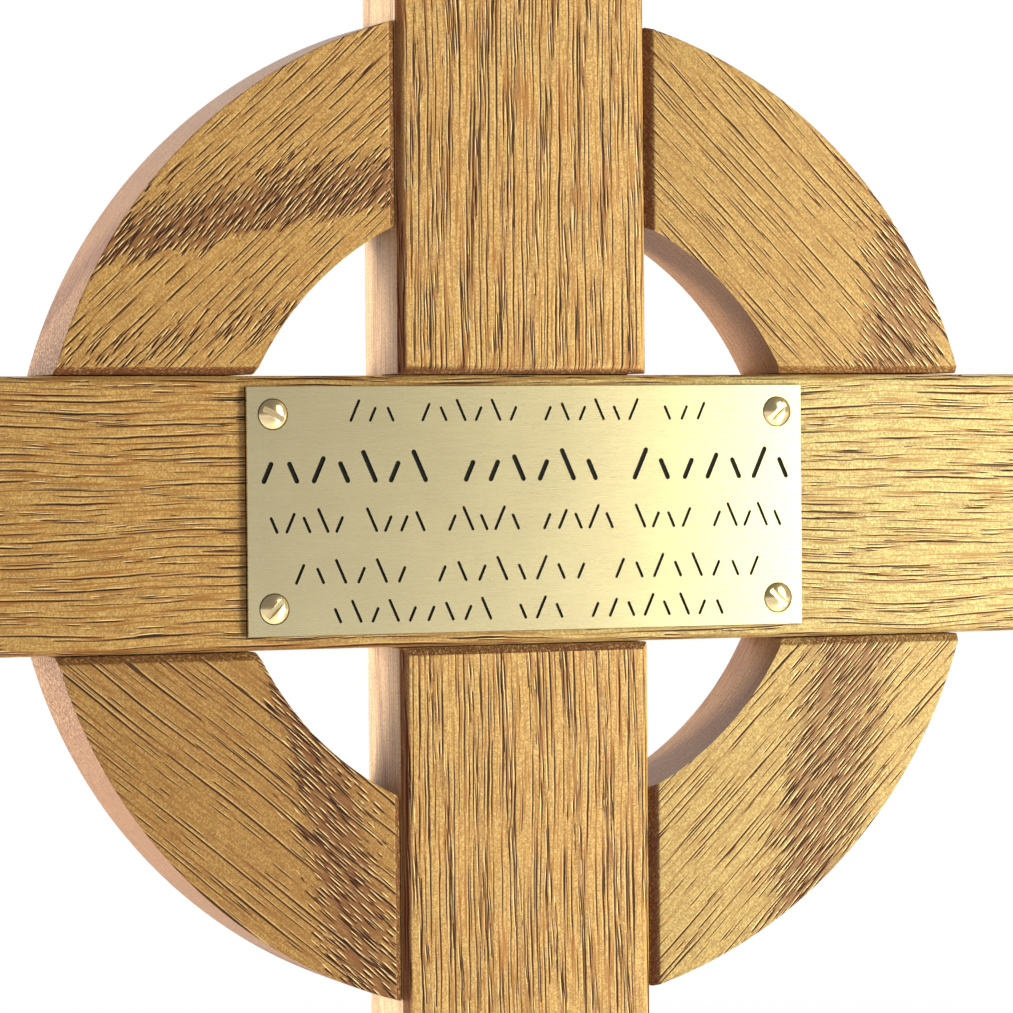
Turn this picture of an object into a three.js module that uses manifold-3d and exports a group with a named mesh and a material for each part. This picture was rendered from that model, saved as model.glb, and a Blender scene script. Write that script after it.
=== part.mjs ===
// A Celtic cross of oak boards with an engraved brass name plate, made to be set in the ground.
//
// Millimetres, +Z up. The front faces -Y, and +X is to the right of someone who looks at the front.
// The origin is the middle of the post's foot, where the post is cut off level with the ground.
// The boards are worked out around the crossing, the point where the two boards' middles meet.

import * as THREE from "three";
import { mergeVertices } from "three/addons/utils/BufferGeometryUtils.js";
import Module from "manifold-3d";

const wasm = await Module();
wasm.setup();

// Boards
const BOARD_THICKNESS = 26;
const POST_WIDTH = 68;
const CROSSBAR_HEIGHT = 68.5;
const FOOT_TO_CROSSING = 410;
const CROSSING_TO_POST_TOP = 210;
const CROSSING_TO_ARM_END = 210;
const CROSSBAR_LAP = 13; // what is left of the crossbar in front of the post
const JOINT_GAP = 0.3; // between boards that meet

// Ring
const RING_OUTER_RADIUS = 128.5;
const RING_INNER_RADIUS = 80;

// Bevels along every straight edge of the front, which make a V where two boards meet
const BEVEL = 2;
const CROSSBAR_BEVEL = 1.4;

// Name plate
const PLATE_WIDTH = 152;
const PLATE_HEIGHT = 62.5;
const PLATE_THICKNESS = 1.2;
const PLATE_RIGHT_OF_CROSSING = 0.8;
const PLATE_ABOVE_CROSSING = 0.4;
const PLATE_GAP = 0.3; // between the plate's back and the crossbar

// Screws
const SCREW_INSET = 7; // from the plate's edges to a screw's middle, both ways
const SCREW_HEAD_DIAMETER = 7.4;
const SCREW_DOME_HEIGHT = 1.4;
const SCREW_SHANK_DIAMETER = 3.2;
const SCREW_LENGTH = 16; // from the plate's face to the tip
const SCREW_TIP_LENGTH = 2.5;
const SCREW_SLOT_WIDTH = 1.1;
const SCREW_SLOT_DEPTH = 1.1; // from the top of the dome
const SCREW_CLEARANCE = 0.3;
const SCREWS = [
  { name: "screw_upper_left", side: -1, level: 1, slotDegrees: -29 },
  { name: "screw_upper_right", side: 1, level: 1, slotDegrees: 42 },
  { name: "screw_lower_left", side: -1, level: -1, slotDegrees: 45 },
  { name: "screw_lower_right", side: 1, level: -1, slotDegrees: -43 },
];

// Inscription: rows of slanting strokes in groups. belowTop runs from the plate's top edge to the
// row's middle, and margin from the plate's side to the first and the last stroke.
const STROKE_DEPTH = 0.35;
const STROKE_LEAN_DEGREES = 24;
const ROWS = [
  { belowTop: 6.2, margin: 27, height: 5.6, stroke: 0.7, groups: [3, 6, 6, 3] },
  { belowTop: 20.2, margin: 3, height: 8.2, stroke: 1.25, groups: [7, 6, 7] },
  { belowTop: 33.6, margin: 5.3, height: 6.2, stroke: 0.75, groups: [5, 4, 5, 5, 4, 5] },
  { belowTop: 46.4, margin: 12, height: 6.2, stroke: 0.75, groups: [6, 8, 8] },
  { belowTop: 56.5, margin: 22, height: 5.8, stroke: 0.75, groups: [9, 3, 8] },
];
const STROKE_HEIGHTS = [1, 0.66, 0.66, 0.82, 0.66, 1, 0.66]; // shares of the row's height, in turn
const STROKE_SIDES = [1, 1, -1, 1, -1, -1, 1, -1]; // which way each stroke leans, in turn
const GROUP_SPACE = 1; // strokes left out between two groups

// Modelling
const ARC_FACETS = 32; // along each curved edge of a ring quarter
const ROUND_FACETS = 32; // around a screw
const DOME_FACETS = 5;
const CUT_OVERSHOOT = 1; // how far a cutter stands clear of what it cuts
const MERGE_DISTANCE = 1e-4;

// Places that several pieces share, measured from the crossing
const FRONT = -BOARD_THICKNESS / 2;
const BACK = BOARD_THICKNESS / 2;
const POST_SIDE = POST_WIDTH / 2;
const CROSSBAR_EDGE = CROSSBAR_HEIGHT / 2;
const LAP_PLANE = FRONT + CROSSBAR_LAP;
const PLATE_BACK = FRONT - PLATE_GAP;
const PLATE_FACE = PLATE_BACK - PLATE_THICKNESS;
const SCREW_HEAD_RADIUS = SCREW_HEAD_DIAMETER / 2;
const SCREW_SHANK_RADIUS = SCREW_SHANK_DIAMETER / 2;

const OAK = new THREE.MeshStandardMaterial({ color: 0xc79f63, roughness: 0.55, metalness: 0 });
const PLATE_BRASS = new THREE.MeshStandardMaterial({ color: 0xd9cb8f, roughness: 0.25, metalness: 1 });
const SCREW_BRASS = new THREE.MeshStandardMaterial({ color: 0xcda85a, roughness: 0.2, metalness: 1 });

// Turns a closed mesh into a solid that can be cut and joined.
function solidFrom(geometry) {
  const bare = geometry.clone();
  bare.deleteAttribute("normal");
  bare.deleteAttribute("uv");
  const merged = mergeVertices(bare, MERGE_DISTANCE);
  const corners = merged.index.array;
  const triangles = [];
  for (let i = 0; i < corners.length; i += 3) {
    const [a, b, c] = corners.slice(i, i + 3);
    // A triangle that has shrunk to a line, as at the ends of a lathe, is left out.
    if (a !== b && b !== c && c !== a) triangles.push(a, b, c);
  }
  return new wasm.Manifold(new wasm.Mesh({
    numProp: 3,
    vertProperties: new Float32Array(merged.attributes.position.array),
    triVerts: new Uint32Array(triangles),
  }));
}

function geometryFrom(solid) {
  const { vertProperties, triVerts } = solid.getMesh();
  const geometry = new THREE.BufferGeometry();
  geometry.setAttribute("position", new THREE.BufferAttribute(vertProperties, 3));
  geometry.setIndex(new THREE.BufferAttribute(triVerts, 1));
  geometry.computeVertexNormals();
  return geometry;
}

function box(x0, x1, y0, y1, z0, z1) {
  const geometry = new THREE.BoxGeometry(x1 - x0, y1 - y0, z1 - z0);
  geometry.translate((x0 + x1) / 2, (y0 + y1) / 2, (z0 + z1) / 2);
  return solidFrom(geometry);
}

// A solid with three sides between two triangles, each given as three points
function prism(first, second) {
  const geometry = new THREE.BufferGeometry().setFromPoints([...first, ...second]);
  const index = [0, 2, 1, 3, 4, 5];
  for (let corner = 0; corner < 3; corner++) {
    const next = (corner + 1) % 3;
    index.push(corner, next, next + 3, corner, next + 3, corner + 3);
  }
  geometry.setIndex(index);
  const solid = solidFrom(geometry);
  if (solid.volume() > 0) return solid;
  geometry.setIndex(index.toReversed());
  return solidFrom(geometry);
}

// The wood that a bevel takes off a front edge. The edge passes through the point corner and runs
// for reach to both sides of it, and inward points across the front face, away from the edge.
function bevelCutter(corner, along, inward, reach, size) {
  const back = new THREE.Vector3(0, 1, 0);
  const section = (place) => [
    [-CUT_OVERSHOOT, size + CUT_OVERSHOOT],
    [size + CUT_OVERSHOOT, -CUT_OVERSHOOT],
    [-CUT_OVERSHOOT, -CUT_OVERSHOOT],
  ].map(([across, deep]) => corner.clone()
    .addScaledVector(along, place)
    .addScaledVector(inward, across)
    .addScaledVector(back, deep));
  return prism(section(-reach), section(reach));
}

const ALONG_X = new THREE.Vector3(1, 0, 0);
const ALONG_Z = new THREE.Vector3(0, 0, 1);

// The post, halved at the front so that the crossbar passes through
function post() {
  let solid = box(-POST_SIDE, POST_SIDE, FRONT, BACK, -FOOT_TO_CROSSING, CROSSING_TO_POST_TOP);
  const shoulder = CROSSBAR_EDGE + JOINT_GAP;
  const wide = POST_SIDE + CUT_OVERSHOOT;
  const tall = FOOT_TO_CROSSING + CROSSING_TO_POST_TOP;
  solid = solid.subtract(box(-wide, wide, FRONT - CUT_OVERSHOOT, LAP_PLANE + JOINT_GAP, -shoulder, shoulder));
  for (const side of [-1, 1]) {
    const arris = new THREE.Vector3(side * POST_SIDE, FRONT, 0);
    const inward = ALONG_X.clone().multiplyScalar(-side);
    solid = solid.subtract(bevelCutter(arris, ALONG_Z, inward, tall, BEVEL));
    const lip = new THREE.Vector3(0, FRONT, side * shoulder);
    const away = ALONG_Z.clone().multiplyScalar(side);
    solid = solid.subtract(bevelCutter(lip, ALONG_X, away, wide, BEVEL));
  }
  const top = new THREE.Vector3(0, FRONT, CROSSING_TO_POST_TOP);
  return solid.subtract(bevelCutter(top, ALONG_X, ALONG_Z.clone().negate(), wide, BEVEL));
}

// The crossbar, halved at the back so that the post passes behind it
function crossbar() {
  let solid = box(-CROSSING_TO_ARM_END, CROSSING_TO_ARM_END, FRONT, BACK, -CROSSBAR_EDGE, CROSSBAR_EDGE);
  const half = POST_SIDE + JOINT_GAP;
  const high = CROSSBAR_EDGE + CUT_OVERSHOOT;
  const long = CROSSING_TO_ARM_END + CUT_OVERSHOOT;
  solid = solid.subtract(box(-half, half, LAP_PLANE, BACK + CUT_OVERSHOOT, -high, high));
  for (const side of [-1, 1]) {
    const arris = new THREE.Vector3(0, FRONT, side * CROSSBAR_EDGE);
    const inward = ALONG_Z.clone().multiplyScalar(-side);
    solid = solid.subtract(bevelCutter(arris, ALONG_X, inward, long, CROSSBAR_BEVEL));
    const end = new THREE.Vector3(side * CROSSING_TO_ARM_END, FRONT, 0);
    const fromEnd = ALONG_X.clone().multiplyScalar(-side);
    solid = solid.subtract(bevelCutter(end, ALONG_Z, fromEnd, high, CROSSBAR_BEVEL));
  }
  for (const screw of SCREWS) solid = solid.subtract(screwHole(screw));
  return solid;
}

// A quarter of the ring, cut square where it meets the post and the crossbar
function ringQuarter(side, level) {
  const postEnd = POST_SIDE + JOINT_GAP;
  const crossbarEnd = CROSSBAR_EDGE + JOINT_GAP;
  const arc = (radius, fromPost) => {
    const atPost = Math.acos(postEnd / radius);
    const atCrossbar = Math.asin(crossbarEnd / radius);
    const [start, end] = fromPost ? [atPost, atCrossbar] : [atCrossbar, atPost];
    return new THREE.EllipseCurve(0, 0, radius, radius, start, end, fromPost).getPoints(ARC_FACETS);
  };
  const outline = [...arc(RING_OUTER_RADIUS, true), ...arc(RING_INNER_RADIUS, false)];
  const shape = new THREE.Shape(outline.map((p) => new THREE.Vector2(side * p.x, level * p.y)));
  const geometry = new THREE.ExtrudeGeometry(shape, { depth: BOARD_THICKNESS, bevelEnabled: false });
  geometry.rotateX(Math.PI / 2);
  geometry.translate(0, BACK, 0);
  const across = ALONG_X.clone().multiplyScalar(side);
  const up = ALONG_Z.clone().multiplyScalar(level);
  const atPost = new THREE.Vector3(side * postEnd, FRONT, 0);
  const atCrossbar = new THREE.Vector3(0, FRONT, level * crossbarEnd);
  return solidFrom(geometry)
    .subtract(bevelCutter(atPost, ALONG_Z, across, RING_OUTER_RADIUS, BEVEL))
    .subtract(bevelCutter(atCrossbar, ALONG_X, up, RING_OUTER_RADIUS, BEVEL));
}

// A turned solid from its profile, given as [radius, height] pairs from the tip to the top. The
// heights point out of the plate, towards -Y.
function turned(profile) {
  const points = profile.map(([radius, height]) => new THREE.Vector2(radius, height));
  const geometry = new THREE.LatheGeometry(points, ROUND_FACETS);
  geometry.rotateX(Math.PI);
  return solidFrom(geometry);
}

// Where a screw's middle meets the plate's face
function screwPlace({ side, level }) {
  return new THREE.Vector3(
    PLATE_RIGHT_OF_CROSSING + side * (PLATE_WIDTH / 2 - SCREW_INSET),
    PLATE_FACE,
    PLATE_ABOVE_CROSSING + level * (PLATE_HEIGHT / 2 - SCREW_INSET),
  );
}

// The countersunk hole that a screw sits in, through the plate and into the crossbar
function screwHole(screw) {
  const head = SCREW_HEAD_RADIUS + SCREW_CLEARANCE;
  const shank = SCREW_SHANK_RADIUS + SCREW_CLEARANCE;
  const bottom = -SCREW_LENGTH - SCREW_CLEARANCE;
  const { x, y, z } = screwPlace(screw);
  return turned([
    [0, bottom],
    [shank, bottom],
    [shank, SCREW_SHANK_RADIUS - SCREW_HEAD_RADIUS],
    [head, 0],
    [head, CUT_OVERSHOOT],
    [0, CUT_OVERSHOOT],
  ]).translate(x, y, z);
}

// A slotted screw with a domed, countersunk head. Its origin is on its axis, at the plate's face.
function screwBody() {
  const domeRadius = (SCREW_HEAD_RADIUS ** 2 + SCREW_DOME_HEIGHT ** 2) / (2 * SCREW_DOME_HEIGHT);
  const rimAngle = Math.asin(SCREW_HEAD_RADIUS / domeRadius);
  const profile = [
    [0, -SCREW_LENGTH],
    [SCREW_SHANK_RADIUS, -SCREW_LENGTH + SCREW_TIP_LENGTH],
    [SCREW_SHANK_RADIUS, SCREW_SHANK_RADIUS - SCREW_HEAD_RADIUS],
  ];
  for (let i = 0; i <= DOME_FACETS; i++) {
    const angle = rimAngle * (1 - i / DOME_FACETS);
    const height = SCREW_DOME_HEIGHT - domeRadius * (1 - Math.cos(angle));
    profile.push([domeRadius * Math.sin(angle), height]);
  }
  const slotReach = SCREW_HEAD_RADIUS + CUT_OVERSHOOT;
  const slotTop = -SCREW_DOME_HEIGHT - CUT_OVERSHOOT;
  const slotBottom = -SCREW_DOME_HEIGHT + SCREW_SLOT_DEPTH;
  const halfSlot = SCREW_SLOT_WIDTH / 2;
  return turned(profile).subtract(box(-slotReach, slotReach, slotTop, slotBottom, -halfSlot, halfSlot));
}

// One slanting stroke of the inscription, as the brass that it takes away
function strokeCutter(x, z, height, width, lean) {
  const reach = (height / 2) * Math.tan(lean);
  const half = width / 2 / Math.cos(lean);
  const shape = new THREE.Shape([
    new THREE.Vector2(x - reach - half, z - height / 2),
    new THREE.Vector2(x - reach + half, z - height / 2),
    new THREE.Vector2(x + reach + half, z + height / 2),
    new THREE.Vector2(x + reach - half, z + height / 2),
  ]);
  const depth = STROKE_DEPTH + CUT_OVERSHOOT;
  const geometry = new THREE.ExtrudeGeometry(shape, { depth, bevelEnabled: false });
  geometry.rotateX(Math.PI / 2);
  geometry.translate(0, PLATE_FACE + STROKE_DEPTH, 0);
  return solidFrom(geometry);
}

// The strokes of one row, spread evenly between its margins with a space between its groups
function rowOfStrokes(row, rowNumber) {
  const places = [];
  let next = 0;
  for (const count of row.groups) {
    for (let i = 0; i < count; i++) places.push(next++);
    next += GROUP_SPACE;
  }
  const lean = THREE.MathUtils.degToRad(STROKE_LEAN_DEGREES);
  const inset = row.margin + (row.height / 2) * Math.tan(lean) + row.stroke / 2;
  const first = PLATE_RIGHT_OF_CROSSING - PLATE_WIDTH / 2 + inset;
  const pitch = (PLATE_WIDTH - 2 * inset) / places.at(-1);
  const foot = PLATE_ABOVE_CROSSING + PLATE_HEIGHT / 2 - row.belowTop - row.height / 2;
  return places.map((place, i) => {
    const height = row.height * STROKE_HEIGHTS[(i + rowNumber) % STROKE_HEIGHTS.length];
    const turn = lean * STROKE_SIDES[(i + rowNumber) % STROKE_SIDES.length];
    return strokeCutter(first + place * pitch, foot + height / 2, height, row.stroke, turn);
  });
}

function namePlate() {
  const middle = PLATE_RIGHT_OF_CROSSING;
  const level = PLATE_ABOVE_CROSSING;
  const wide = PLATE_WIDTH / 2;
  const high = PLATE_HEIGHT / 2;
  let solid = box(middle - wide, middle + wide, PLATE_FACE, PLATE_BACK, level - high, level + high);
  for (const screw of SCREWS) solid = solid.subtract(screwHole(screw));
  for (const cutter of ROWS.flatMap(rowOfStrokes)) solid = solid.subtract(cutter);
  return solid;
}

function piece(name, solid, material) {
  const mesh = new THREE.Mesh(geometryFrom(solid), material);
  mesh.name = name;
  return mesh;
}

const crossing = new THREE.Group();
crossing.position.z = FOOT_TO_CROSSING;
crossing.add(piece("post", post(), OAK));
crossing.add(piece("crossbar", crossbar(), OAK));
crossing.add(piece("ring_upper_left", ringQuarter(-1, 1), OAK));
crossing.add(piece("ring_upper_right", ringQuarter(1, 1), OAK));
crossing.add(piece("ring_lower_left", ringQuarter(-1, -1), OAK));
crossing.add(piece("ring_lower_right", ringQuarter(1, -1), OAK));
crossing.add(piece("name_plate", namePlate(), PLATE_BRASS));
for (const screw of SCREWS) {
  const mesh = piece(screw.name, screwBody(), SCREW_BRASS);
  mesh.position.copy(screwPlace(screw));
  mesh.rotation.y = -THREE.MathUtils.degToRad(screw.slotDegrees);
  crossing.add(mesh);
}

const cross = new THREE.Group();
cross.add(crossing);

export default cross;
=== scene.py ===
"""An oak Celtic cross grave marker with an engraved brass name plate, screwed to its crossing.

Metres, +Z up. The front faces -Y, and +X is to the right of someone who looks at the front.
The boards keep the shape of their CAD nodes, with eased edges and the grain of oak. The name
plate and the screws are finer pieces that stand for their nodes.
"""

import math

import bmesh
import bpy
from mathutils import Matrix, Vector
from mathutils.geometry import delaunay_2d_cdt


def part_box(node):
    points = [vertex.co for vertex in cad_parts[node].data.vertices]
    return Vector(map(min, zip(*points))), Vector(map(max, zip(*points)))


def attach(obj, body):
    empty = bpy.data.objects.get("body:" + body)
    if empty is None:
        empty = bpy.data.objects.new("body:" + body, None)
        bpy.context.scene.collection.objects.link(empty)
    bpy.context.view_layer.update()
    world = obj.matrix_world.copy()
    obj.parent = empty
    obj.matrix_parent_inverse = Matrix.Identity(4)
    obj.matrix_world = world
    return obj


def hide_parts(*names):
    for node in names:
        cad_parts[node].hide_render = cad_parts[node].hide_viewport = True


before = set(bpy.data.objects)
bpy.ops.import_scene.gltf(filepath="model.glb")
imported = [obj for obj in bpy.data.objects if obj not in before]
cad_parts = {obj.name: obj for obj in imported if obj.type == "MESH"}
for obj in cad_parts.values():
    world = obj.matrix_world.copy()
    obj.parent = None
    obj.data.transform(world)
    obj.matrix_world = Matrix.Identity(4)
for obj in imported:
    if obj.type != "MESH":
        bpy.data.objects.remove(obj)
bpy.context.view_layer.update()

MM = 0.001
BODY = "root"

# The places of the colours, and of the numbers, among the mix node's sockets
MIX_FIRST_NUMBER, MIX_SECOND_NUMBER = 2, 3
MIX_FIRST_COLOUR, MIX_SECOND_COLOUR = 6, 7
MIX_COLOUR = 2

# The crossing is the point where the middles of the two boards meet.
bar_low, bar_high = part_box("crossbar")
CROSSING = Vector((0, 0, (bar_low.z + bar_high.z) / 2))

# Camera, fitted to the photo: where it stands about the crossing, and how it is turned, in degrees
CAMERA_FROM_CROSSING = Vector((-395.7, -1008.5, 18.6)) * MM
CAMERA_YAW = 21.406
CAMERA_PITCH = -0.951
CAMERA_ROLL = -0.456
FOCAL_PIXELS = 4203.7
PHOTO_PIXELS = 1013
SENSOR = 36

# Boards
ARRIS_RADIUS = 0.35 * MM
ARRIS_SEGMENTS = 2
ARRIS_SHORTEST = 4 * MM
SHARP_DEGREES = 30
WELD_DISTANCE = 0.002 * MM
FLAT_DEGREES = 0.2

# Name plate. Its front edge is eased by a steep narrow bevel, given by its width and its depth.
PLATE_EDGE = 0.18 * MM
PLATE_EDGE_DEPTH = 0.42 * MM
STROKE_DEPTH = 0.3 * MM
STROKE_LEAN = math.radians(24)
STROKE_END_POINTS = 7
HOLE_CLEARANCE = 0.3 * MM
HOLE_POINTS = 48
# The plate's side walls take a near-black coat: painted shade along its edges
BRASS_FACE, BLACK_FILL, PAINTED_SHADE_SIDE = 0, 1, 2
CDT_INSIDE = 1
CDT_CLOSENESS = 1e-9

# Rows of strokes, in mm: from the plate's top edge to the row's middle, from its side to the
# first stroke, the row's height, the strokes' width, and how many strokes each group has
ROWS = [
    dict(below_top=6.2, margin=27, height=5.6, stroke=0.7, groups=(3, 6, 6, 3)),
    dict(below_top=20.2, margin=3, height=8.2, stroke=1.25, groups=(7, 6, 7)),
    dict(below_top=33.6, margin=5.3, height=6.2, stroke=0.75, groups=(5, 4, 5, 5, 4, 5)),
    dict(below_top=46.4, margin=12, height=6.2, stroke=0.75, groups=(6, 8, 8)),
    dict(below_top=56.5, margin=22, height=5.8, stroke=0.75, groups=(9, 3, 8)),
]
STROKE_HEIGHTS = (1, 0.66, 0.66, 0.82, 0.66, 1, 0.66)
STROKE_SIDES = (1, 1, -1, 1, -1, -1, 1, -1)
GROUP_SPACE = 1

# Screws: how far each slot is turned, in degrees, and their sizes
SCREW_SLOTS = {
    "screw_upper_left": -29,
    "screw_upper_right": 42,
    "screw_lower_left": 45,
    "screw_lower_right": -43,
}
DOME_HEIGHT = 1.4 * MM
DOME_RINGS = 14
SCREW_POINTS = 72
SHANK_RADIUS = 1.6 * MM
TIP_LENGTH = 2.5 * MM
SLOT_WIDTH = 1.4 * MM
SLOT_DEPTH = 0.9 * MM
SLOT_EDGE = 0.08 * MM
SLOT_EDGE_SEGMENTS = 2
SLOT_EDGE_DEGREES = 50
SLOT_EDGE_LOWEST = DOME_HEIGHT * 0.3
CUTTER_REACH = 1.5
CUTTER_HEIGHT = 2

# Studio. The world is dim in front and bright behind, and turns from one to the other between two
# places along Y. The floor is lit near the object and shines by itself far away.
WORLD_TURN = (-0.15, 0.5)
WORLD_STRENGTHS = (0.22, 1.4)
FLOOR_RADIUS = 14.0
FLOOR_POINTS = 96
FLOOR_FADE = (0.7, 2.2)
LIGHTS = [
    dict(name="key", offset=(0.38, -0.36, 0), width=0.22, height=0.8, power=5.5, colour=(1, 1, 0.76)),
    dict(name="left", offset=(-0.92, 0.42, -0.05), width=0.5, height=0.6, power=17, colour=(1, 1, 1)),
]


def tone(red, green, blue):
    """A colour given as on a screen, from 0 to 255, as the linear colour that a shader takes"""
    def linear(value):
        share = value / 255
        return share / 12.92 if share <= 0.04045 else ((share + 0.055) / 1.055) ** 2.4
    return (linear(red), linear(green), linear(blue), 1.0)


FLOOR_COLOURS = (tone(236, 235, 232), tone(244, 243, 240))

# Brass: its colour, its roughness and how deep its brushing is. Clouds on it are a little darker.
PLATE_METAL = dict(colour=(0.65, 0.555, 0.345, 1), roughness=0.275, brushed=0.03)
SCREW_METAL = dict(colour=(0.95, 0.74, 0.42, 1), roughness=0.24, brushed=0.02)
CLOUD_TINT = 0.86
CLOUDS_PER_MM = 0.06
CLOUD_SHARE = (0.3, 0.7, 0.0, 0.35)
ROUGHNESS_LEAST = 0.97
ROUGHNESS_MOST = 1.04
BRUSHING_LENGTH = 9
BRUSHING_PER_MM = 7
BRUSHING_DEPTH = 0.01 * MM

# The black that fills the engraved strokes, and the dull near black of the plate's side walls,
# which is painted shade along its edges
ENAMEL = dict(specks_per_m=2500, dark=tone(3, 3, 2), light=tone(12, 10, 8), roughness=(0.5, 0.7))
EDGE_PAINTED_SHADE = dict(specks_per_m=1800, dark=tone(16, 10, 5), light=tone(44, 30, 16), roughness=(0.6, 0.8))

# The facts of the lines in the ring's quarters, in mm: see lines()
QUARTER_RAYS = (2.7, 34, 14, 0.18)
QUARTER_FINE = (2.0, 12, 4.5, 0.13)
QUARTER_PORES = (0.9, 6.5, 3.2, 0.19)

# What a line has at least of its half length and half width, and what chance adds to its width
LENGTH_LEAST = 0.4
WIDTH_LEAST = 0.75
WIDTH_CHANCE = 0.5

# Where a line's parts fade, as the square of the way out from the line's middle to its tip
HALO_REACH = 2.0
CORE_FADE = (1.2, 0.5)
HALO_FADE = (HALO_REACH ** 2, 0.8)
# The pale flank beside each line is a painted highlight.
FLANK_FADE = (1.2, 0.3)
FLANK_NARROWING = 1.4
FLANK_PLACE = 2.1

# How much of their room the rays and the fine lines take up, how far the fine lines' pattern is
# moved from the rays', how many pores the earlywood has, and how strong the core, the halo and the
# flank, a painted highlight, of the first two are next to those of a pore
RAY_SHARE = 0.85
FINE_SHARE = 0.6
FINE_OFFSET = 57.3
PORE_SHARE = 1.7
LINE_STRENGTHS = (0.95, 0.9, 0.4)

# How far apart, in mm along and across the grain, the pieces of wood of two seeds lie
SEED_ALONG = 391.0
SEED_ACROSS = 173.0

# Sizes of the noises in the grain, in mm along and across it, and how far one moves the bands
SWAY_SIZE = (70, 45)
JITTER_SIZE = (12, 5)
PATCH_SIZE = (26, 2.6)
PATCH_REACH = 6.5
RAGGED_SIZE = (10, 1.6)
FIBRE_SIZE = (9, 0.5)
STREAK_SIZE = (22, 0.9)
DOT_SIZE = (1.2, 0.42)
SPECKS_PER_MM = 2.2
BROAD_SCALE = 2.2

# Growth rings: the part of a year in which the earlywood opens, and where it has closed again.
# Then how far the rings and the bands shift across the face for each mm of depth.
YEAR_OPEN = 0.12
YEAR_CLOSED = 0.6
RING_DEPTH_SLOPE = 0.5
BAND_DEPTH_SLOPE = 0.6

# The stretch of a board, in mm from the crossing, over which its growth rings bend, and how far
# the bend takes it to be
BOW_FROM = (-220, 220)
BOW_TO = (-150, 150)

# Where a board's tint begins to change from its left to its right, and where it has changed: a
# painted sheen, lighter towards the right of the front
PAINTED_SHEEN_REACH = (-76, 76)

# Where the painted shade in the joints' grooves begins and where it is full, in mm from the crossing
# along Y
GROOVE_SHADE_REACH = (-13.4, -12.0)

# Between which two parts of a face's normal the face counts as a side, as cut across the grain, as
# a bevel, as turned away from the light and as the front
SIDE_NORMAL = (0.55, 0.45)
END_NORMAL = (0.25, 0.55)
BEVEL_NORMAL = (0.95, 0.85)
SHADED_NORMAL = (0.3, -0.7)
SHADED_DOWN = 0.3
FRONT_NORMAL = (0.0, -0.7)

# How noises come in: the values between which they do, and, where given, the shares there
RAGGED = (0.34, 0.6, 0.6, 1.0)
FIBRE_CONTRAST = (0.3, 0.7)
BROAD_SHARE = (0.3, 0.75, 0.0, 0.45)
SPECK_DARK_SHARE = (0.35, 0.6, 0.55, 0.0)
SPECK_LIGHT_SHARE = (0.5, 0.7, 0.0, 0.3)
STREAK_CONTRAST = (0.54, 0.6)
STREAK_SPECKS = (0.4, 0.55, 0.35, 1.0)
SAWN_CONTRAST = (0.38, 0.62)
EARLYWOOD_SHARE = (0.15, 0.85, 0.0, 0.72)
DOT_CORE = (0.42, 0.2)
DOT_FLANK = (0.62, 0.85)

# How strong the parts of the oak's colour are
SIDE_SHARE = 0.75
SAWN_SPECKS = 0.6
END_SHARE = 0.85
END_SHARE_ON_SIDE = -0.65
LINES_ON_END = -0.75
LINES_ON_SIDE = -0.7
HALO_SHARE = 0.6
# How strong the painted highlight on the lines' flanks is
FLANK_SHARE = 0.8
DOT_FLANK_SHARE = 0.35
DOT_CORE_SHARE = 0.8
# How strong the painted shade in the joints' grooves is
GROOVE_SHADE_SHARE = 0.72

# Relief and gloss of oak: a pore is a dent, and its floor is duller
PORE_HEIGHT = -0.8
FIBRE_HEIGHT = 0.3
RELIEF = 0.1 * MM
RELIEF_STRENGTH = 0.7
OAK_ROUGHNESS = (0.2, 0.8, 0.4, 0.52)
PORE_ROUGHNESS = 0.4

# Colours of oak
GROUND_DARK = tone(160, 116, 56)
GROUND_LIGHT = tone(198, 156, 88)
GROUND_BROAD = tone(178, 133, 68)
SPECK_DARK = tone(118, 76, 30)
SPECK_LIGHT = tone(222, 184, 112)
STREAK = tone(142, 82, 22)
RING_SIDE = (tone(98, 60, 38), tone(156, 108, 74))
POST_SIDE = (tone(172, 134, 98), tone(222, 188, 144))
EARLYWOOD = tone(104, 60, 34)
END_GRAIN = tone(98, 52, 26)
# The colour of the painted shade in the joints' grooves
GROOVE_PAINTED_SHADE = tone(96, 34, 10)
# Pale: the painted highlight beside the lines, and the paler wood between the dots where the grain is cut
# across
LINE_PALE = tone(252, 224, 166)
LINE_HALO = tone(118, 58, 16)
LINE_DARK = tone(38, 9, 0)

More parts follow.
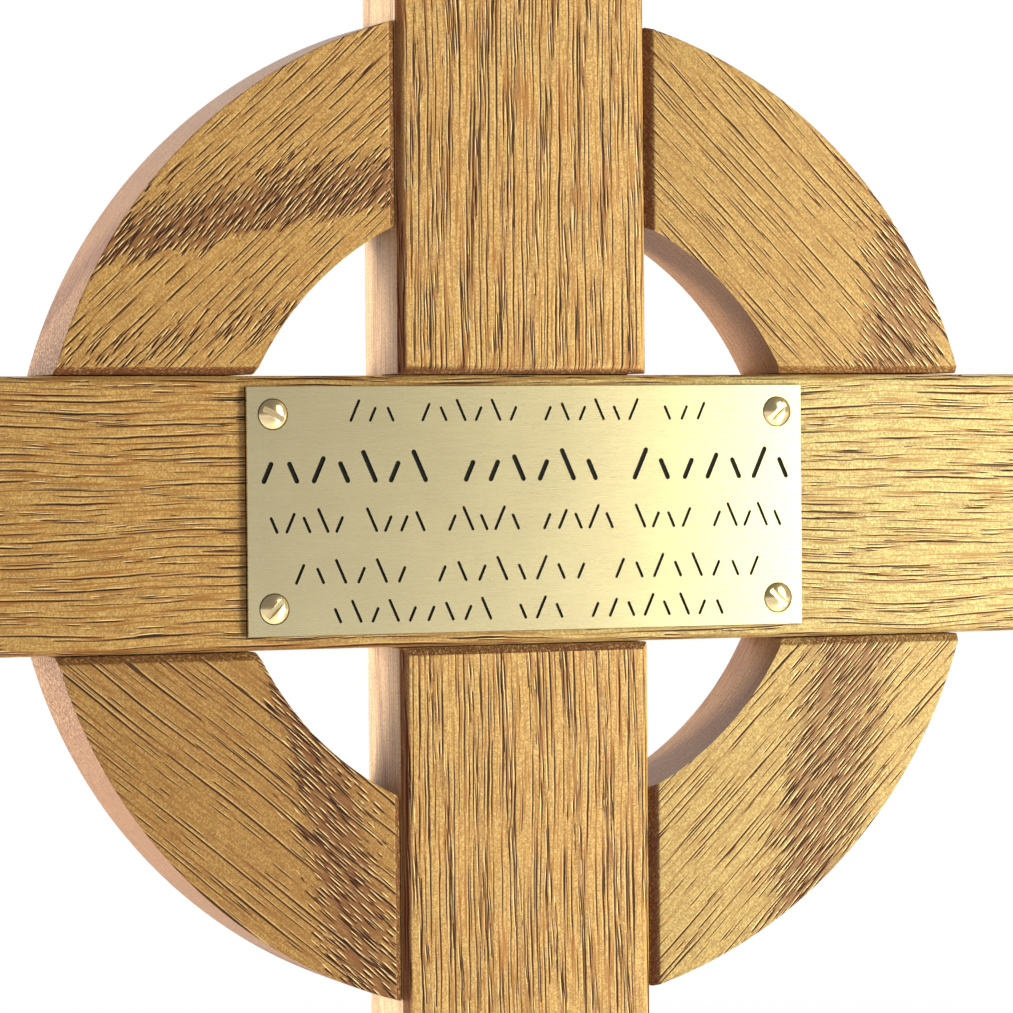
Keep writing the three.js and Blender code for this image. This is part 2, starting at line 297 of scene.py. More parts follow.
# The oak of each board: see oak()
OAKS = {
    "post": dict(
        grain=90, seed=1, rays=(2.2, 52, 21, 0.19), fine=(1.3, 24, 10, 0.15), pores=(0.9, 12, 5.5, 0.15),
        ring=(9.0, 0.0006), yearly_share=0.55, streak=0.95, lean=0.03, rough_grain=0.8,
        side_tint=POST_SIDE, tint=(1.13, 1.22, 1.6),
    ),
    # The crossbar's front has a painted sheen, lighter and paler towards its right
    "crossbar": dict(
        grain=0, seed=2, wave=3, rays=(3.0, 40, 16, 0.19), fine=(2.2, 20, 8, 0.12),
        pores=(1.0, 10, 4.5, 0.13), ring=(8.5, -0.0007), yearly_share=0.45, streak=0.9, lean=0.0,
        rough_grain=0.8, side_tint=POST_SIDE, tint=(1.02, 1.07, 1.2), painted_sheen_tint=(1.06, 1.44, 2.1),
    ),
    "ring_upper_left": dict(
        grain=43, seed=3, band=(12, [(73, 78, 97, 1.0), (46, 54, 62, 0.35)]), rays=(2.2, 15, 5.8, 0.18),
        pores=(0.85, 5.5, 2.8, 0.19), tint=(1.0, 1.03, 1.2),
    ),
    "ring_upper_right": dict(
        grain=-45, seed=4, band=(-100, [(70, 88, 112, 0.9)]), lean=-0.06, pores=(0.9, 8, 4.0, 0.17),
        end_share=0.35, tint=(0.85, 0.9, 0.98),
    ),
    "ring_lower_left": dict(
        grain=-39, seed=5, band=(-77, [(-90, -78, -60, 1.0)]), lean=-0.06, rays=(3.0, 60, 26, 0.2),
        tint=(0.8, 0.77, 0.82),
    ),
    "ring_lower_right": dict(
        grain=45, seed=6, band=(-100, [(68, 86, 112, 1.0)]), lean=0.05, pores=(0.9, 9, 4.5, 0.17),
        end_share=0.7, tint=(0.95, 1.15, 1.54),
    ),
}


class Shader:
    """A material and short ways to add nodes to it."""

    def __init__(self, name):
        self.material = bpy.data.materials.new(name)
        self.material.use_nodes = True
        self.tree = self.material.node_tree
        self.tree.nodes.clear()
        self.surface = self.add("ShaderNodeBsdfPrincipled")
        output = self.add("ShaderNodeOutputMaterial")
        self.tree.links.new(self.surface.outputs[0], output.inputs[0])

    def add(self, kind, **settings):
        """A new node with its settings"""
        node = self.tree.nodes.new(kind)
        for key, value in settings.items():
            setattr(node, key, value)
        return node

    def feed(self, socket, value):
        """Gives a socket a number or a colour, or links another node's output to it."""
        if isinstance(value, bpy.types.NodeSocket):
            self.tree.links.new(value, socket)
        else:
            socket.default_value = value

    def math(self, operation, first, second=0.0, third=0.0, clamp=False):
        node = self.add("ShaderNodeMath", operation=operation, use_clamp=clamp)
        for socket, value in zip(node.inputs, (first, second, third)):
            self.feed(socket, value)
        return node.outputs[0]

    def vector(self, operation, first, second=(0, 0, 0)):
        node = self.add("ShaderNodeVectorMath", operation=operation)
        self.feed(node.inputs[0], first)
        self.feed(node.inputs[1], second)
        return node.outputs["Vector"]

    def place(self):
        return self.add("ShaderNodeTexCoord").outputs["Object"]

    def normal(self):
        return self.add("ShaderNodeTexCoord").outputs["Normal"]

    def add_fed(self, kind, values, **settings):
        """A new node with its settings and with values for its inputs"""
        node = self.add(kind, **settings)
        for key, value in values.items():
            self.feed(node.inputs[key], value)
        return node

    def split(self, vector):
        return self.add_fed("ShaderNodeSeparateXYZ", {0: vector}).outputs

    def join(self, x, y, z):
        return self.add_fed("ShaderNodeCombineXYZ", {0: x, 1: y, 2: z}).outputs[0]

    def noise(self, vector, scale=1.0, detail=2.0, roughness=0.5):
        values = {"Vector": vector, "Scale": scale, "Detail": detail, "Roughness": roughness}
        return self.add_fed("ShaderNodeTexNoise", values).outputs["Fac"]

    def ramp(self, value, low, high, start=0.0, end=1.0):
        """Goes smoothly from start to end while a value goes from low to high."""
        values = {"Value": value, "From Min": low, "From Max": high, "To Min": start, "To Max": end}
        return self.add_fed("ShaderNodeMapRange", values, interpolation_type="SMOOTHSTEP").outputs[0]

    def mix(self, share, first, second, blend="MIX"):
        node = self.add("ShaderNodeMix", data_type="RGBA", blend_type=blend)
        self.feed(node.inputs["Factor"], share)
        self.feed(node.inputs[MIX_FIRST_COLOUR], first)
        self.feed(node.inputs[MIX_SECOND_COLOUR], second)
        return node.outputs[MIX_COLOUR]

    def bump(self, height, distance, strength):
        values = {"Height": height, "Distance": distance, "Strength": strength}
        return self.add_fed("ShaderNodeBump", values).outputs[0]

    def stretched(self, along, across, size):
        """A place for noise that is longer along the grain than across it, by two sizes in mm"""
        x = self.math("DIVIDE", along, size[0])
        y = self.math("DIVIDE", across, size[1])
        return self.join(x, y, 0.0)

    def turned(self, x, z, angle):
        """How far a place is along a direction in the XZ plane, and how far across it"""
        cosine, sine = math.cos(angle), math.sin(angle)
        along = self.math("MULTIPLY_ADD", z, sine, self.math("MULTIPLY", x, cosine))
        across = self.math("MULTIPLY_ADD", z, cosine, self.math("MULTIPLY", x, -sine))
        return along, across

    def finish(self, **values):
        for key, value in values.items():
            self.feed(self.surface.inputs[key.replace("_", " ")], value)
        return self.material


def lines(shader, along, across, facts, share):
    """Dark lines that run along the grain and end in points, the brown halo of each, and the pale
    flank that each has on one side, a painted highlight. facts gives, in mm, how far apart the
    lines are, the length that each has to itself, half a line's length and half its width. share
    is how much of the room is taken up."""
    spacing, room, half_length, half_width = facts
    cell = shader.stretched(along, across, (room, spacing))
    values = {"Vector": cell, "Scale": 1.0}
    places = shader.add_fed("ShaderNodeTexVoronoi", values, voronoi_dimensions="2D")
    chance = shader.add_fed("ShaderNodeSeparateColor", {0: places.outputs["Color"]}).outputs
    offset = shader.split(shader.vector("SUBTRACT", cell, places.outputs["Position"]))
    reach = shader.math("MULTIPLY_ADD", chance[1], half_length, half_length * LENGTH_LEAST)
    width = shader.math("MULTIPLY_ADD", chance[2], half_width * WIDTH_CHANCE, half_width * WIDTH_LEAST)
    lengthwise = shader.math("DIVIDE", shader.math("MULTIPLY", offset[0], room), reach)
    crosswise = shader.math("DIVIDE", shader.math("MULTIPLY", offset[1], spacing), width)
    lengthwise = shader.math("MULTIPLY", lengthwise, lengthwise)
    taken = shader.math("LESS_THAN", chance[0], share)
    core = shader.math("MULTIPLY_ADD", crosswise, crosswise, lengthwise)
    dark = shader.math("MULTIPLY", shader.ramp(core, *CORE_FADE), taken)
    halo = shader.math("MULTIPLY", shader.ramp(core, *HALO_FADE), taken)
    aside = shader.math("MULTIPLY_ADD", crosswise, FLANK_NARROWING, -FLANK_NARROWING * FLANK_PLACE)
    flank = shader.math("MULTIPLY_ADD", aside, aside, lengthwise)
    pale = shader.math("MULTIPLY", shader.ramp(flank, *FLANK_FADE), taken)
    return dark, halo, pale


def bands(shader, x, z, deep, wobble, angle, edges):
    """Dark bands of open earlywood across a face. Each has the places in mm, across the bands,
    where it begins, is strongest and has faded, and how strong it is."""
    level = shader.turned(x, z, math.radians(angle))[1]
    level = shader.math("ADD", level, shader.math("MULTIPLY", deep, BAND_DEPTH_SLOPE))
    level = shader.math("ADD", level, wobble)
    total = 0.0
    for begin, strongest, faded, share in edges:
        rise = shader.ramp(level, begin, strongest, 0.0, share)
        fall = shader.ramp(level, strongest, faded, 1.0, 0.0)
        total = shader.math("ADD", total, shader.math("MULTIPLY", rise, fall))
    return total


def growth_rings(shader, along, across, deep, spacing, bow):
    """The open earlywood at the start of each year's growth, where the rings are nearly
    parallel to the grain. bow bends them into long arches."""
    place = shader.ramp(along, *BOW_FROM, *BOW_TO)
    bend = shader.math("MULTIPLY", shader.math("MULTIPLY", place, place), bow)
    level = shader.math("ADD", across, bend)
    level = shader.math("MULTIPLY_ADD", deep, RING_DEPTH_SLOPE, level)
    year = shader.math("FRACT", shader.math("DIVIDE", level, spacing))
    opening = shader.ramp(year, 0.0, YEAR_OPEN)
    closing = shader.ramp(year, YEAR_OPEN, YEAR_CLOSED, 1.0, 0.0)
    return shader.math("MULTIPLY", opening, closing)


def oak(name, grain, seed, wave=1.5, rays=QUARTER_RAYS, fine=QUARTER_FINE, pores=QUARTER_PORES,
        band=None, ring=None, yearly_share=1.0, streak=0.4, lean=0.12, rough_grain=0.35,
        side_tint=RING_SIDE, end_share=1.0, tint=(1, 1, 1), painted_sheen_tint=None):
    """Oiled oak. grain is the grain's angle on the front, in degrees up from +X, and seed picks the
    piece of wood. wave and rough_grain are how far the grain wanders, in mm, slowly and from fibre
    to fibre. rays, fine and pores are the facts of its long lines, its short ones and the pores of
    its earlywood, and lean is how much the pores slant to the grain.

    band has the angle and the edges of bands(). ring has the spacing and the bow of growth_rings(),
    and yearly_share is how strong those are. streak is how strong the brown streaks are. side_tint
    has the two colours of the side faces, and end_share is how dark the wood is where it is cut
    across. tint multiplies the colour. Where a second tint is given for the right, the front turns
    to it towards its right: a painted sheen, lighter where the key light shines most."""
    shader = Shader(name)
    local = shader.vector("SUBTRACT", shader.place(), tuple(CROSSING))
    local = shader.vector("MULTIPLY", local, (1 / MM, 1 / MM, 1 / MM))
    x, y, z = shader.split(local)
    turn = math.radians(grain)
    middle_along, middle_across = shader.turned(x, z, turn)

    # Which way a face looks: out to a side, or along the grain. The grain of a side is laid out
    # over the board's thickness.
    nx, ny, nz = shader.split(shader.normal())
    facing = shader.math("ABSOLUTE", ny)
    side = shader.ramp(facing, *SIDE_NORMAL)
    end = shader.math("ABSOLUTE", shader.turned(nx, nz, turn)[0])
    spread = shader.math("MULTIPLY", side, shader.math("SUBTRACT", y, middle_across))
    level_across = shader.math("ADD", middle_across, spread)
    along = shader.math("ADD", middle_along, seed * SEED_ALONG)
    straight = shader.math("ADD", level_across, seed * SEED_ACROSS)

    # The grain wanders: slowly over the board, and a little from fibre to fibre.
    slow = shader.stretched(along, straight, SWAY_SIZE)
    quick = shader.stretched(along, straight, JITTER_SIZE)
    sway = shader.math("MULTIPLY_ADD", shader.noise(slow, detail=1), wave * 2, -wave)
    jitter = shader.math("MULTIPLY_ADD", shader.noise(quick, detail=2), rough_grain, -rough_grain / 2)
    across = shader.math("ADD", straight, shader.math("ADD", sway, jitter))

    # Earlywood, in bands across the grain or in rings along it, with ragged edges
    patch = shader.noise(shader.stretched(along, straight, PATCH_SIZE), detail=3, roughness=0.6)
    wobble = shader.math("MULTIPLY_ADD", patch, PATCH_REACH * 2, -PATCH_REACH)
    early = 0.0
    if band:
        early = shader.math("ADD", early, bands(shader, x, z, y, wobble, *band))
    if ring:
        swayed = shader.math("ADD", middle_across, sway)
        yearly = growth_rings(shader, middle_along, swayed, y, *ring)
        early = shader.math("MULTIPLY_ADD", yearly, yearly_share, early)
    ragged = shader.noise(shader.stretched(along, across, RAGGED_SIZE), detail=3, roughness=0.65)
    early = shader.math("MULTIPLY", early, shader.ramp(ragged, *RAGGED), clamp=True)

    ray_lines = lines(shader, along, across, rays, RAY_SHARE)
    fine_lines = lines(shader, along, shader.math("ADD", across, FINE_OFFSET), fine, FINE_SHARE)
    leaning = shader.math("MULTIPLY_ADD", middle_along, -lean, across)
    pore_lines = lines(shader, along, leaning, pores, shader.math("MULTIPLY", early, PORE_SHARE))
    dark, halo, pale = (
        shader.math("MAXIMUM", pore, shader.math("MULTIPLY", shader.math("MAXIMUM", ray, thin), strength))
        for ray, thin, pore, strength in zip(ray_lines, fine_lines, pore_lines, LINE_STRENGTHS)
    )

    # Cut across, the same pores show as dots, and the wood is darker.
    dot_length, dot_width = DOT_SIZE
    dots = shader.join(shader.math("DIVIDE", along, dot_length),
                       shader.math("DIVIDE", middle_across, dot_width),
                       shader.math("DIVIDE", y, dot_width))
    dots = shader.add_fed("ShaderNodeTexVoronoi", {"Vector": dots, "Scale": 1.0}).outputs["Distance"]
    cut = shader.ramp(end, *END_NORMAL)
    cut_tint = shader.math("MULTIPLY_ADD", side, END_SHARE_ON_SIDE * end_share, END_SHARE * end_share)
    cut_tint = shader.math("MULTIPLY", cut, cut_tint)
    uncut = shader.math("MULTIPLY_ADD", cut, LINES_ON_END, 1.0)
    uncut = shader.math("MULTIPLY", uncut, shader.math("MULTIPLY_ADD", side, LINES_ON_SIDE, 1.0))
    dark, halo, pale = (shader.math("MULTIPLY", share, uncut) for share in (dark, halo, pale))
    dot_dark = shader.math("MULTIPLY", shader.ramp(dots, *DOT_CORE), cut)
    dot_pale = shader.math("MULTIPLY", shader.ramp(dots, *DOT_FLANK), cut)

    fibre = shader.noise(shader.stretched(along, across, FIBRE_SIZE), detail=3, roughness=0.65)
    streaks = shader.noise(shader.stretched(along, across, STREAK_SIZE), detail=3, roughness=0.6)
    speck = shader.noise(local, scale=SPECKS_PER_MM, detail=2, roughness=0.7)
    broad = shader.noise(slow, scale=BROAD_SCALE, detail=2)

    # Painted shade: bevels are darker towards the joints, whose grooves are shaded, and most on the
    # sides turned away from the key light.
    bevel = shader.math("SUBTRACT", shader.ramp(facing, *BEVEL_NORMAL), side)
    shaded = shader.ramp(shader.math("MULTIPLY_ADD", nz, SHADED_DOWN, nx), *SHADED_NORMAL)
    groove_shade = shader.math("MULTIPLY", shader.ramp(y, *GROOVE_SHADE_REACH), bevel)
    groove_shade = shader.math("MULTIPLY", groove_shade, shaded)

    # The wood, from its fibres to its tint
    colour = shader.mix(shader.ramp(fibre, *FIBRE_CONTRAST), GROUND_DARK, GROUND_LIGHT)
    colour = shader.mix(shader.ramp(broad, *BROAD_SHARE), colour, GROUND_BROAD)
    colour = shader.mix(shader.ramp(speck, *SPECK_DARK_SHARE), colour, SPECK_DARK)
    colour = shader.mix(shader.ramp(speck, *SPECK_LIGHT_SHARE), colour, SPECK_LIGHT)
    streaked = shader.ramp(streaks, *STREAK_CONTRAST, 0.0, streak)
    streaked = shader.math("MULTIPLY", streaked, shader.ramp(speck, *STREAK_SPECKS))
    colour = shader.mix(streaked, colour, STREAK)
    # Painted sheen: the front turns to the second tint towards its right, where the key light shines most
    painted_sheen_share = shader.math("MULTIPLY", shader.ramp(x, *PAINTED_SHEEN_REACH), shader.ramp(ny, *FRONT_NORMAL))
    whole_tint = shader.mix(painted_sheen_share, (*tint, 1), (*(painted_sheen_tint or tint), 1))
    colour = shader.mix(1.0, colour, whole_tint, "MULTIPLY")

    # What differs from place to place: side faces, earlywood, cut ends, lines, dots and painted shade
    sawn = shader.math("MULTIPLY", fibre, 1 - SAWN_SPECKS)
    sawn = shader.math("MULTIPLY_ADD", speck, SAWN_SPECKS, sawn)
    sawn = shader.mix(shader.ramp(sawn, *SAWN_CONTRAST), *side_tint)
    for share, strength, layer in (
        (side, SIDE_SHARE, sawn),
        (shader.ramp(early, *EARLYWOOD_SHARE), 1.0, EARLYWOOD),
        (cut_tint, 1.0, END_GRAIN),
        (halo, HALO_SHARE, LINE_HALO),
        # The pale flank of the lines: a painted highlight
        (pale, FLANK_SHARE, LINE_PALE),
        (dot_pale, DOT_FLANK_SHARE, LINE_PALE),
        (dark, 1.0, LINE_DARK),
        (dot_dark, DOT_CORE_SHARE, LINE_DARK),
        # Painted shade in the joints' grooves
        (groove_shade, GROOVE_SHADE_SHARE, GROOVE_PAINTED_SHADE),
    ):
        colour = shader.mix(shader.math("MULTIPLY", share, strength), colour, layer)

    height = shader.math("MULTIPLY", fibre, FIBRE_HEIGHT)
    for pore in (dark, dot_dark):
        height = shader.math("MULTIPLY_ADD", pore, PORE_HEIGHT, height)
    matt = shader.math("MAXIMUM", dark, dot_dark)
    return shader.finish(
        Base_Color=colour,
        Roughness=shader.math("MULTIPLY_ADD", matt, PORE_ROUGHNESS, shader.ramp(fibre, *OAK_ROUGHNESS)),
        Specular_IOR_Level=0.3,
        Normal=shader.bump(height, RELIEF, RELIEF_STRENGTH),
    )


def brass(name, colour, roughness, brushed):
    """Brass with faint lines along X, as left by brushing or polishing"""
    shader = Shader(name)
    local = shader.vector("MULTIPLY", shader.place(), (1 / MM, 1 / MM, 1 / MM))
    x, y, z = shader.split(local)
    drawn_out = shader.math("DIVIDE", x, BRUSHING_LENGTH)
    pressed = shader.math("MULTIPLY", z, BRUSHING_PER_MM)
    brushing = shader.noise(shader.join(drawn_out, y, pressed), detail=3)
    cloud = shader.noise(local, scale=CLOUDS_PER_MM, detail=3)
    darker = tuple(part * CLOUD_TINT for part in colour[:3]) + (1,)
    roughness_range = (roughness * ROUGHNESS_LEAST, roughness * ROUGHNESS_MOST)
    return shader.finish(
        Base_Color=shader.mix(shader.ramp(cloud, *CLOUD_SHARE), colour, darker),
        Metallic=1.0,
        Roughness=shader.ramp(brushing, 0.2, 0.8, *roughness_range),
        Normal=shader.bump(brushing, BRUSHING_DEPTH, brushed),
    )


def matt_coat(name, specks_per_m, dark, light, roughness):
    """A dark dull surface with fine specks, its roughness between two values"""
    shader = Shader(name)
    speck = shader.noise(shader.place(), scale=specks_per_m)
    return shader.finish(
        Base_Color=shader.mix(speck, dark, light),
        Roughness=shader.ramp(speck, 0.3, 0.7, *roughness),
        Specular_IOR_Level=0.15,
    )


def piece_from(name, bm, materials):
    """A finished piece of the object from its mesh, smooth but for its sharp edges"""
    mesh = bpy.data.meshes.new(name)
    bm.to_mesh(mesh)
    bm.free()
    for polygon in mesh.polygons:
        polygon.use_smooth = True
    mesh.set_sharp_from_angle(angle=math.radians(SHARP_DEGREES))
    for material in materials:
        mesh.materials.append(material)
    piece = bpy.data.objects.new(name, mesh)
    bpy.context.scene.collection.objects.link(piece)
    return piece


def ease(bm, edges, radius, segments):
    """Rounds the given edges of a mesh."""
    bmesh.ops.bevel(bm, geom=edges, offset=radius, segments=segments, profile=0.5, affect="EDGES")


def board(node, material):
    """A board with the shape of its CAD node, its facets joined and its long edges eased"""
    bm = bmesh.new()
    bm.from_mesh(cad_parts[node].data)
    bmesh.ops.remove_doubles(bm, verts=bm.verts, dist=WELD_DISTANCE)
    bmesh.ops.dissolve_limit(bm, angle_limit=math.radians(FLAT_DEGREES), verts=bm.verts, edges=bm.edges)
    sharp = math.radians(SHARP_DEGREES)
    long_edges = [
        edge for edge in bm.edges
        if edge.calc_length() > ARRIS_SHORTEST and edge.calc_face_angle(0) > sharp
    ]
    ease(bm, long_edges, ARRIS_RADIUS, ARRIS_SEGMENTS)
    piece = piece_from("oak_" + node, bm, [material])
    even = piece.modifiers.new("even shading", "WEIGHTED_NORMAL")
    even.keep_sharp = True
    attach(piece, BODY)
    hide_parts(node)
    return piece


def capsule(x, z, height, width, lean):
    """The outline of a stroke with round ends, as points (x, z)"""
    radius = width / 2
    along = Vector((math.sin(lean), math.cos(lean)))
    across = Vector((math.cos(lean), -math.sin(lean)))
    half = (height / 2) / math.cos(lean) - radius
    points = []
    for end in (1, -1):
        for step in range(STROKE_END_POINTS):
            angle = math.pi * step / (STROKE_END_POINTS - 1)
            offset = across * math.cos(angle) + along * math.sin(angle)
            points.append(Vector((x, z)) + (along * half + offset * radius) * end)
    return points


def strokes(plate_low, plate_high):
    """The outlines of all strokes, row by row, spread evenly with a space between groups"""
    width = plate_high.x - plate_low.x
    outlines = []
    for number, row in enumerate(ROWS):
        places, following = [], 0
        for count in row["groups"]:
            places += range(following, following + count)
            following += count + GROUP_SPACE
        height, stroke = row["height"] * MM, row["stroke"] * MM
        inset = row["margin"] * MM + height / 2 * math.tan(STROKE_LEAN) + stroke / 2
        pitch = (width - 2 * inset) / places[-1]
        foot = plate_high.z - row["below_top"] * MM - height / 2
        for index, place in enumerate(places):
            tall = height * STROKE_HEIGHTS[(index + number) % len(STROKE_HEIGHTS)]
            lean = STROKE_LEAN * STROKE_SIDES[(index + number) % len(STROKE_SIDES)]
            middle = plate_low.x + inset + place * pitch
            outlines.append(capsule(middle, foot + tall / 2, tall, stroke, lean))
    return outlines


def circle(x, z, radius, count):
    """The outline of a circle, as points (x, z)"""
    angles = [2 * math.pi * i / count for i in range(count)]
    return [Vector((x + radius * math.cos(angle), z + radius * math.sin(angle))) for angle in angles]


def rectangle(low, high, inset):
    """The outline of a box seen from the front, drawn in on all sides, as points (x, z)"""
    x0, x1 = low.x + inset, high.x - inset
    z0, z1 = low.z + inset, high.z - inset
    return [Vector((x0, z0)), Vector((x1, z0)), Vector((x1, z1)), Vector((x0, z1))]


class Sheet:
    """Flat faces and walls of the name plate, gathered in one mesh"""

    def __init__(self):
        self.bm = bmesh.new()

    def loop(self, outline, y):
        return [self.bm.verts.new((p.x, y, p.y)) for p in outline]

    def wall(self, first, second, material=BRASS_FACE):
        """Joins two loops with four-sided faces."""
        for i in range(len(first)):
            j = (i + 1) % len(first)
            face = self.bm.faces.new((first[i], first[j], second[j], second[i]))
            face.material_index = material

    def fill(self, outer, holes, y):
        """Fills the space between an outline and the holes in it with triangles."""
        loops = [outer] + holes
        points = [point for loop in loops for point in loop]
        faces, start = [], 0
        for loop in loops:
            faces.append(list(range(start, start + len(loop))))
            start += len(loop)
        found, _, triangles, _, _, sources = delaunay_2d_cdt(points, [], faces, CDT_INSIDE, CDT_CLOSENESS)
        verts = self.loop(found, y)
        for triangle, source in zip(triangles, sources):
            if source == [0]:
                self.bm.faces.new([verts[i] for i in triangle])


def name_plate(brass_material, black, edge_material):
    """The engraved plate, with eased edges, countersunk holes and round-ended strokes"""
    low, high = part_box("name_plate")
    sheet = Sheet()
    outlines = strokes(low, high)
    head_holes, shank_holes = [], []
    for node in SCREW_SLOTS:
        screw_low, screw_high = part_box(node)
        middle = (screw_low + screw_high) / 2
        radius = (screw_high.x - screw_low.x) / 2
        back_radius = max(radius - (high.y - low.y), SHANK_RADIUS)
        head_holes.append(circle(middle.x, middle.z, radius + HOLE_CLEARANCE, HOLE_POINTS))
        shank_holes.append(circle(middle.x, middle.z, back_radius + HOLE_CLEARANCE, HOLE_POINTS))
    outer, inner = rectangle(low, high, 0), rectangle(low, high, PLATE_EDGE)
    sheet.fill(inner, head_holes + outlines, low.y)
    sheet.fill(outer, shank_holes, high.y)
    sheet.wall(sheet.loop(inner, low.y), sheet.loop(outer, low.y + PLATE_EDGE_DEPTH))
    # The side walls are near black: painted shade along the plate's edges
    sheet.wall(sheet.loop(outer, low.y + PLATE_EDGE_DEPTH), sheet.loop(outer, high.y), PAINTED_SHADE_SIDE)
    for head, shank in zip(head_holes, shank_holes):
        sheet.wall(sheet.loop(head, low.y), sheet.loop(shank, high.y))
    for outline in outlines:
        bottom = low.y + STROKE_DEPTH
        sheet.wall(sheet.loop(outline, low.y), sheet.loop(outline, bottom), BLACK_FILL)
        face = sheet.bm.faces.new(sheet.loop(outline, bottom))
        face.material_index = BLACK_FILL
    bmesh.ops.remove_doubles(sheet.bm, verts=sheet.bm.verts, dist=WELD_DISTANCE)
    bmesh.ops.recalc_face_normals(sheet.bm, faces=sheet.bm.faces)
    piece = piece_from("engraved_plate", sheet.bm, [brass_material, black, edge_material])
    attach(piece, BODY)
    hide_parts("name_plate")
    return piece


def cut_box(target, low, high):
    """Takes a box out of a mesh, and gives the mesh that is left."""
    bm = bmesh.new()
    bmesh.ops.create_cube(bm, size=1.0)
    size = high - low
    for vert in bm.verts:
        vert.co = (low + high) / 2 + Vector(a * b for a, b in zip(vert.co, size))
    cutter_mesh = bpy.data.meshes.new("cutter")
    bm.to_mesh(cutter_mesh)
    bm.free()
    cutter = bpy.data.objects.new("cutter", cutter_mesh)
    bpy.context.scene.collection.objects.link(cutter)
    modifier = target.modifiers.new("slot", "BOOLEAN")
    modifier.operation = "DIFFERENCE"
    modifier.object = cutter
    bpy.context.view_layer.update()
    evaluated = target.evaluated_get(bpy.context.evaluated_depsgraph_get())
    left = bpy.data.meshes.new_from_object(evaluated)
    bpy.data.objects.remove(cutter)
    return left


def screw(node, slot_degrees, material):
    """A slotted screw with a domed head. Its axis is worked out along Z and then laid along Y."""
    low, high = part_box(node)
    radius = (high.x - low.x) / 2
    dome_radius = (radius ** 2 + DOME_HEIGHT ** 2) / (2 * DOME_HEIGHT)
    rim = math.asin(radius / dome_radius)
    length = (high.y - low.y) - DOME_HEIGHT
    profile = [
        (0, -length),
        (SHANK_RADIUS, TIP_LENGTH - length),
        (SHANK_RADIUS, SHANK_RADIUS - radius),
        (radius, 0),
    ]
    for ring in range(1, DOME_RINGS + 1):
        angle = rim * (1 - ring / DOME_RINGS)
        profile.append((dome_radius * math.sin(angle), DOME_HEIGHT - dome_radius * (1 - math.cos(angle))))
    bm = bmesh.new()
    verts = [bm.verts.new((r, 0, z)) for r, z in profile]
    edges = [bm.edges.new(pair) for pair in zip(verts, verts[1:])]
    bmesh.ops.spin(bm, geom=verts + edges, cent=(0, 0, 0), axis=(0, 0, 1), angle=2 * math.pi,
                   steps=SCREW_POINTS)
    bmesh.ops.remove_doubles(bm, verts=bm.verts, dist=WELD_DISTANCE)
    bmesh.ops.recalc_face_normals(bm, faces=bm.faces)
    whole = bpy.data.meshes.new("whole")
    bm.to_mesh(whole)
    bm.free()
    blank = bpy.data.objects.new("blank", whole)
    bpy.context.scene.collection.objects.link(blank)
    wide, high_up = radius * CUTTER_REACH, DOME_HEIGHT * CUTTER_HEIGHT
    slotted = cut_box(blank, Vector((-wide, -SLOT_WIDTH / 2, DOME_HEIGHT - SLOT_DEPTH)),
                      Vector((wide, SLOT_WIDTH / 2, high_up)))
    bpy.data.objects.remove(blank)
    bm = bmesh.new()
    bm.from_mesh(slotted)
    sharp = math.radians(SLOT_EDGE_DEGREES)
    slot_edges = [
        edge for edge in bm.edges
        if edge.calc_face_angle(0) > sharp and all(v.co.z > SLOT_EDGE_LOWEST for v in edge.verts)
    ]
    ease(bm, slot_edges, SLOT_EDGE, SLOT_EDGE_SEGMENTS)
    face = low.y + DOME_HEIGHT
    middle = Vector(((low.x + high.x) / 2, face, (low.z + high.z) / 2))
    lay = Matrix.Rotation(math.radians(90), 4, "X")
    turn = Matrix.Rotation(math.radians(-slot_degrees), 4, "Y")
    bm.transform(Matrix.Translation(middle) @ turn @ lay)
    piece = piece_from("brass_" + node, bm, [material])
    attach(piece, BODY)
    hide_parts(node)
    return piece


def area_light(name, offset, width, height, power, colour):
    """A soft light that looks at the crossing, and that the camera doesn't see"""
    place = CROSSING + Vector(offset)
    data = bpy.data.lights.new(name, "AREA")
    data.shape = "RECTANGLE"
    data.size, data.size_y = width, height
    data.energy = power
    data.color = colour
    light = bpy.data.objects.new(name, data)
    light.location = place
    light.rotation_euler = (CROSSING - place).to_track_quat("-Z", "Y").to_euler()
    light.visible_camera = False
    bpy.context.scene.collection.objects.link(light)


def surroundings():
    """White surroundings behind and dimmer ones in front, plain white where the camera sees them"""
    world = bpy.data.worlds.new("studio")
    bpy.context.scene.world = world
    world.use_nodes = True
    nodes, links = world.node_tree.nodes, world.node_tree.links
    nodes.clear()
    direction = nodes.new("ShaderNodeTexCoord").outputs["Generated"]
    split = nodes.new("ShaderNodeSeparateXYZ")
    links.new(direction, split.inputs[0])
    strength = nodes.new("ShaderNodeMapRange")
    strength.interpolation_type = "SMOOTHSTEP"
    for key, value in zip(("From Min", "From Max", "To Min", "To Max"), WORLD_TURN + WORLD_STRENGTHS):
        strength.inputs[key].default_value = value
    links.new(split.outputs[1], strength.inputs["Value"])
    seen = nodes.new("ShaderNodeLightPath").outputs["Is Camera Ray"]
    either = nodes.new("ShaderNodeMix")
    links.new(seen, either.inputs[0])
    links.new(strength.outputs[0], either.inputs[MIX_FIRST_NUMBER])
    either.inputs[MIX_SECOND_NUMBER].default_value = 1.0
    background = nodes.new("ShaderNodeBackground")
    background.inputs["Color"].default_value = (1, 1, 1, 1)
    links.new(either.outputs[0], background.inputs["Strength"])
    output = nodes.new("ShaderNodeOutputWorld")
    links.new(background.outputs[0], output.inputs[0])


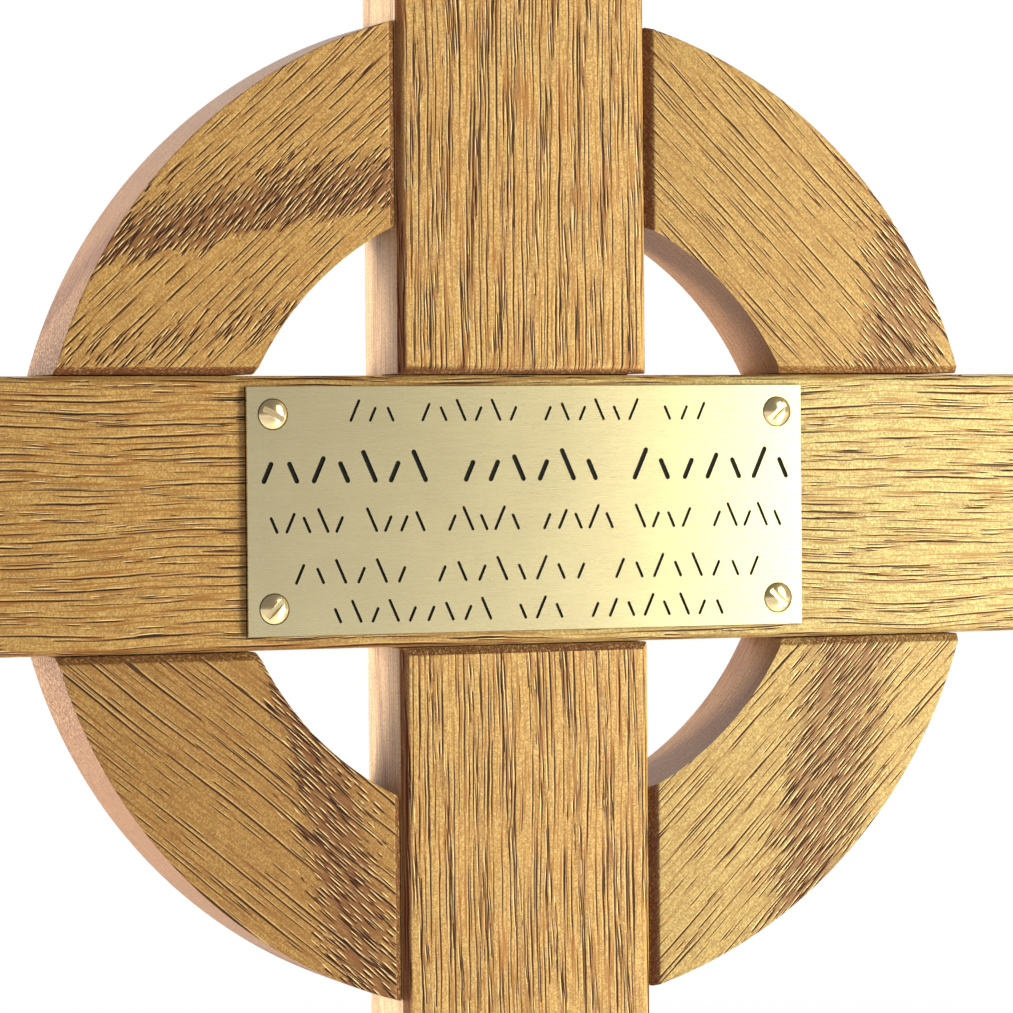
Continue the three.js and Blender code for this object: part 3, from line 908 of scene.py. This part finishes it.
def ground():
    """A pale floor that melts into the white behind it"""
    shader = Shader("pale_floor")
    away = shader.add_fed("ShaderNodeVectorMath", {0: shader.place()}, operation="LENGTH")
    speck = shader.noise(shader.place(), scale=40, detail=3)
    tree = shader.tree
    glow = shader.add("ShaderNodeEmission")
    blend = shader.add("ShaderNodeMixShader")
    shader.feed(blend.inputs[0], shader.ramp(away.outputs["Value"], *FLOOR_FADE))
    tree.links.new(shader.surface.outputs[0], blend.inputs[1])
    tree.links.new(glow.outputs[0], blend.inputs[2])
    output = next(node for node in tree.nodes if node.type == "OUTPUT_MATERIAL")
    tree.links.new(blend.outputs[0], output.inputs[0])
    shader.finish(
        Base_Color=shader.mix(speck, *FLOOR_COLOURS),
        Roughness=0.8,
        Specular_IOR_Level=0.2,
    )
    bm = bmesh.new()
    bmesh.ops.create_circle(bm, cap_ends=True, segments=FLOOR_POINTS, radius=FLOOR_RADIUS)
    floor = piece_from("floor", bm, [shader.material])


def camera():
    """The camera, at the place and with the lens that were fitted to the photo"""
    yaw, pitch, roll = (math.radians(angle) for angle in (CAMERA_YAW, CAMERA_PITCH, CAMERA_ROLL))
    forward = Vector((math.sin(yaw) * math.cos(pitch), math.cos(yaw) * math.cos(pitch), math.sin(pitch)))
    level = Vector((math.cos(yaw), -math.sin(yaw), 0))
    upright = level.cross(forward)
    right = level * math.cos(roll) + upright * math.sin(roll)
    up = upright * math.cos(roll) - level * math.sin(roll)
    data = bpy.data.cameras.new("camera")
    data.sensor_width = SENSOR
    data.lens = SENSOR * FOCAL_PIXELS / PHOTO_PIXELS
    view = bpy.data.objects.new("camera", data)
    turn = Matrix((right, up, -forward)).transposed()
    view.matrix_world = Matrix.Translation(CROSSING + CAMERA_FROM_CROSSING) @ turn.to_4x4()
    bpy.context.scene.collection.objects.link(view)
    bpy.context.scene.camera = view


camera()
for board_node, board_facts in OAKS.items():
    board(board_node, oak("oak_" + board_node, **board_facts))
black = matt_coat("black_enamel", **ENAMEL)
# The near-black coat of the plate's side walls is painted shade
dull = matt_coat("plate_edge_painted_shade", **EDGE_PAINTED_SHADE)
name_plate(brass("plate_brass", **PLATE_METAL), black, dull)
screw_material = brass("screw_brass", **SCREW_METAL)
for screw_node, slot_degrees in SCREW_SLOTS.items():
    screw(screw_node, slot_degrees, screw_material)
surroundings()
ground()
for light_facts in LIGHTS:
    area_light(**light_facts)

bpy.context.scene.view_settings.view_transform = "Standard"
